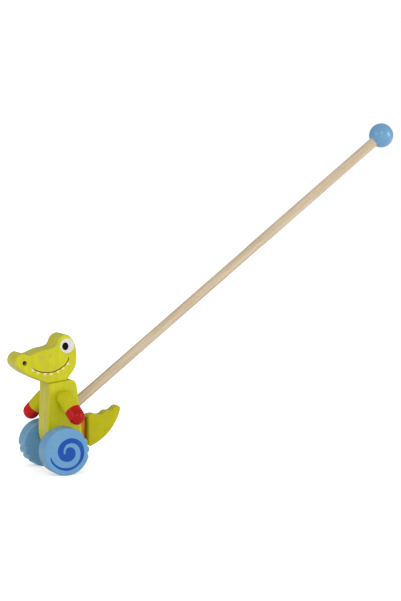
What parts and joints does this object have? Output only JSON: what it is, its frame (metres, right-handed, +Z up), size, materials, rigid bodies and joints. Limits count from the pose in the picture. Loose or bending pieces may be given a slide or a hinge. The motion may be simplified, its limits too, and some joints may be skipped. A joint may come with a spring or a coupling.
{
  "type": "toddler push toy",
  "caption": "Wooden crocodile push toy: upright green body on two blue spiral wheels, posable arms, a tail on a leather strap and a slanting push stick with a ball.",
  "frame": {"origin": "the floor point under the middle of the axle", "axes": "+X backwards, towards the handle; +Y to the toy's right; +Z up"},
  "size_m": [0.5087, 0.1002, 0.4089],
  "materials": {
    "green_wood": "semi-gloss lime green lacquer on wood",
    "blue_wood": "semi-gloss light blue lacquer on wood",
    "plain_wood": "clear-coated pale wood",
    "tan_leather": "smooth tan leather"
  },
  "bodies": {
    "toy_body": {"body_block": "green_wood", "head": "green_wood", "neck_dowel_front": "plain_wood", "neck_dowel_rear": "plain_wood", "axle_spacer_left": "plain_wood", "axle_spacer_right": "plain_wood", "tail_strap": "tan_leather", "stick": "plain_wood", "handle_ball": "blue_wood"},
    "wheels": {"axle": "plain_wood", "wheel_left": "blue_wood", "wheel_right": "blue_wood"},
    "left_arm": {"arm_left": "green_wood", "shoulder_dowel_left": "plain_wood"},
    "right_arm": {"arm_right": "green_wood", "shoulder_dowel_right": "plain_wood"},
    "tail": {"tail": "green_wood"}
  },
  "joints": [
    {"name": "wheel_spin", "type": "hinge", "parent": "toy_body", "child": "wheels", "pos_m": [0, 0, 0.0275], "axis": [0, 1, 0], "continuous": true},
    {"name": "left_arm_swing", "type": "hinge", "parent": "toy_body", "child": "left_arm", "pos_m": [0.0064, 0, 0.0864], "axis": [0, 1, 0], "continuous": true},
    {"name": "right_arm_swing", "type": "hinge", "parent": "toy_body", "child": "right_arm", "pos_m": [-0.0031, 0, 0.0832], "axis": [0, 1, 0], "range_deg": [-8.5, 306]},
    {"name": "tail_wag", "type": "hinge", "parent": "toy_body", "child": "tail", "pos_m": [0.03555, 0, 0.0445], "axis": [0, 0, 1], "range_deg": [-30, 30], "stiffness_Nm_per_rad": 0.02, "deforming": ["tail_strap"]}
  ]
}
